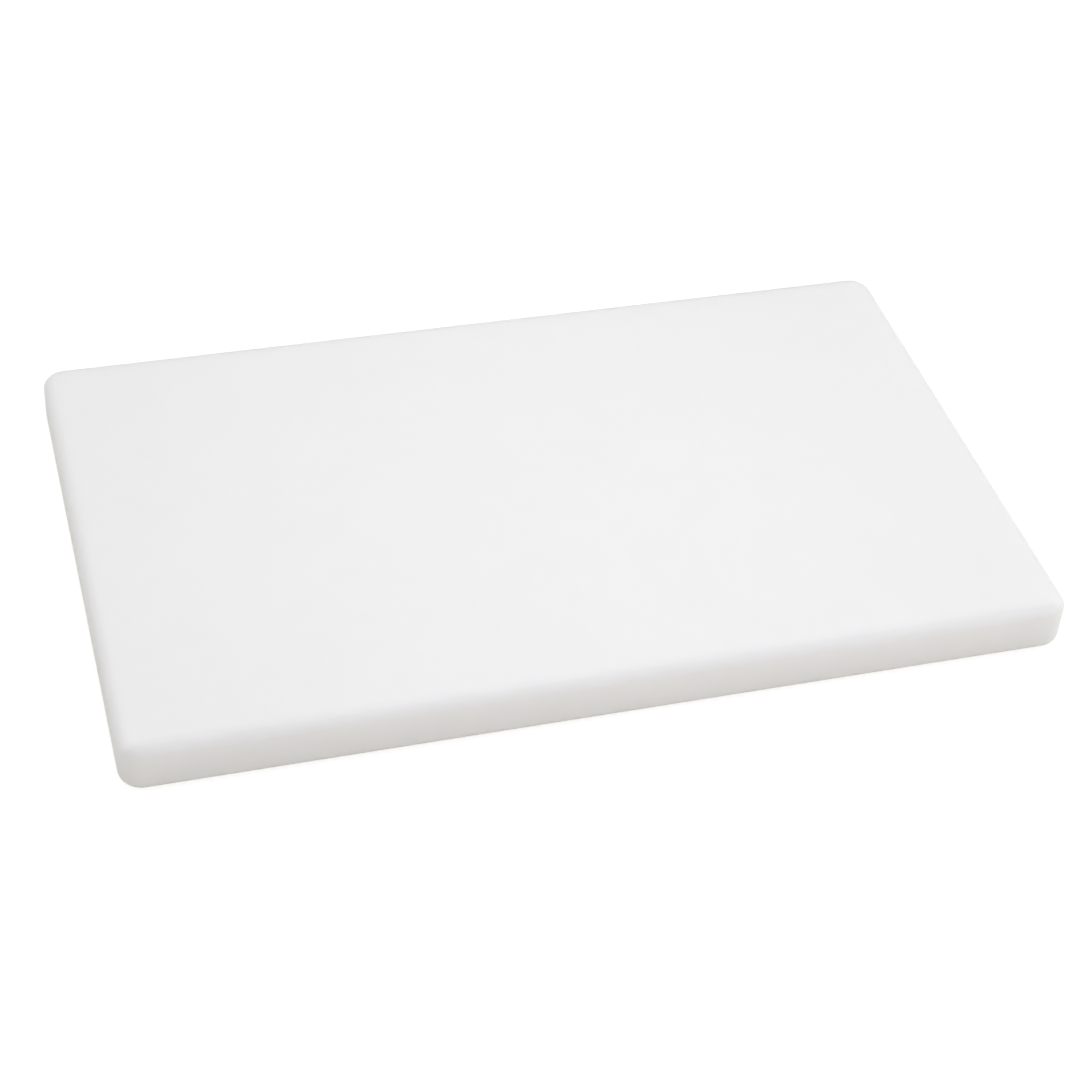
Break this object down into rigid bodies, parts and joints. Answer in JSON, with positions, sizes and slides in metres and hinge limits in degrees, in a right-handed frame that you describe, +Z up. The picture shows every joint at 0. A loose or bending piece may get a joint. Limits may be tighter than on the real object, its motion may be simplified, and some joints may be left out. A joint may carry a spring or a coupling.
{
  "type": "cutting board",
  "caption": "Thick flat rectangular slab of white polyethylene with rounded corners and rims, for cutting food on either face.",
  "frame": {"origin": "middle of the underside, where the board rests on the worktop", "axes": "+X along the long side, +Y along the short side away from the user, +Z up through the thickness"},
  "size_m": [0.53, 0.325, 0.03],
  "materials": {
    "board": "white polyethylene sheet with a fine satin face, slightly translucent at the rims and corners"
  },
  "bodies": {
    "root": {"cutting_board": "board"}
  },
  "joints": []
}
